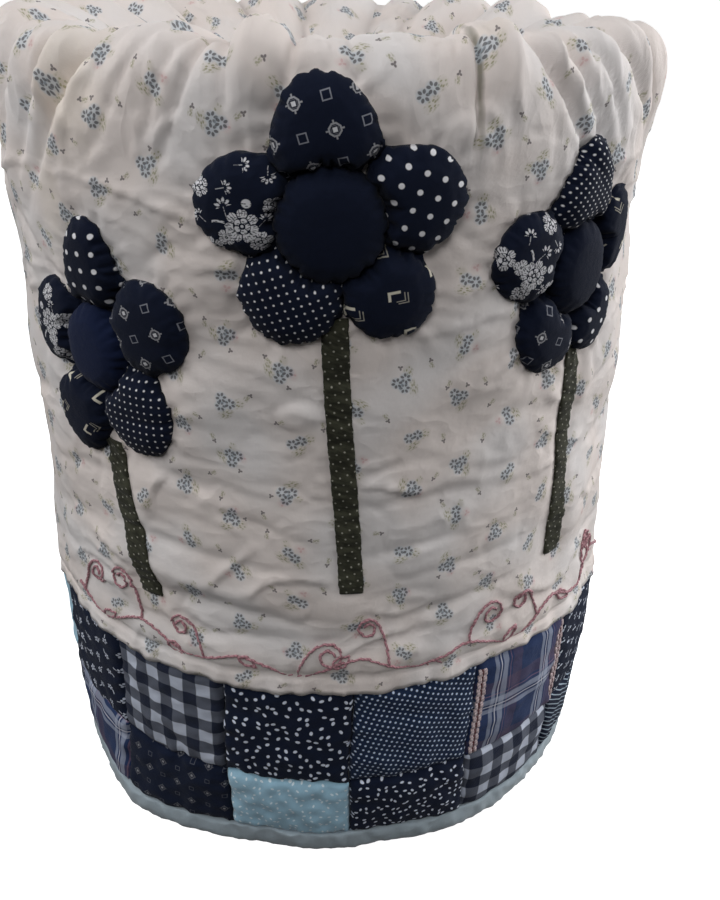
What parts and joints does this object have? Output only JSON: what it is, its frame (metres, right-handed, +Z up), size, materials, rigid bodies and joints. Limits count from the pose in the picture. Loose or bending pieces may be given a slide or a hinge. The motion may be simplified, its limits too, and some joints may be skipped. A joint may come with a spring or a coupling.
{
  "type": "water jug cover",
  "caption": "Padded cloth cover for a large water jug: gathered sprigged panel with stuffed flowers, patchwork band and bound hem.",
  "frame": {"origin": "on the floor, under the middle of the cover", "axes": "+Z up through the closed top, -Y is the front with the middle flower, +X to the right of the front"},
  "size_m": [0.3023, 0.3099, 0.385],
  "materials": {
    "sprigged_cotton": "matt off-white cotton printed with small blue-grey sprigs, quilted",
    "patchwork_cotton": "matt cotton patches in navy prints, gingham, plaid and light blue",
    "binding_cotton": "matt blue-grey bias binding",
    "navy_plain": "matt plain navy cotton, stuffed",
    "navy_pin_dot": "matt navy cotton with white pin dots, stuffed",
    "navy_polka": "matt navy cotton with large white dots, stuffed",
    "navy_foulard": "matt navy cotton with small squares in rings of dots, stuffed",
    "navy_floral": "matt navy cotton with white outline blooms, stuffed",
    "navy_diamond": "matt navy cotton with sparse angular motifs, stuffed",
    "stem_ribbon": "matt olive ribbon with tiny cream dots",
    "stitching_thread": "soft pink-red embroidery thread"
  },
  "bodies": {
    "root": {"printed_panel": "sprigged_cotton", "patchwork_band": "patchwork_cotton", "hem_binding": "binding_cotton", "middle_flower_centre": "navy_plain", "middle_flower_petal_top": "navy_foulard", "middle_flower_petal_right": "navy_polka", "middle_flower_petal_lower_right": "navy_diamond", "middle_flower_petal_lower_left": "navy_pin_dot", "middle_flower_petal_left": "navy_floral", "left_flower_centre": "navy_plain", "left_flower_petal_top": "navy_polka", "left_flower_petal_right": "navy_foulard", "left_flower_petal_lower_right": "navy_pin_dot", "left_flower_petal_lower_left": "navy_diamond", "left_flower_petal_left": "navy_floral", "right_flower_centre": "navy_plain", "right_flower_petal_top": "navy_pin_dot", "right_flower_petal_right": "navy_diamond", "right_flower_petal_lower_right": "navy_polka", "right_flower_petal_lower_left": "navy_foulard", "right_flower_petal_left": "navy_floral", "middle_stem": "stem_ribbon", "left_stem": "stem_ribbon", "right_stem": "stem_ribbon"}
  },
  "joints": []
}
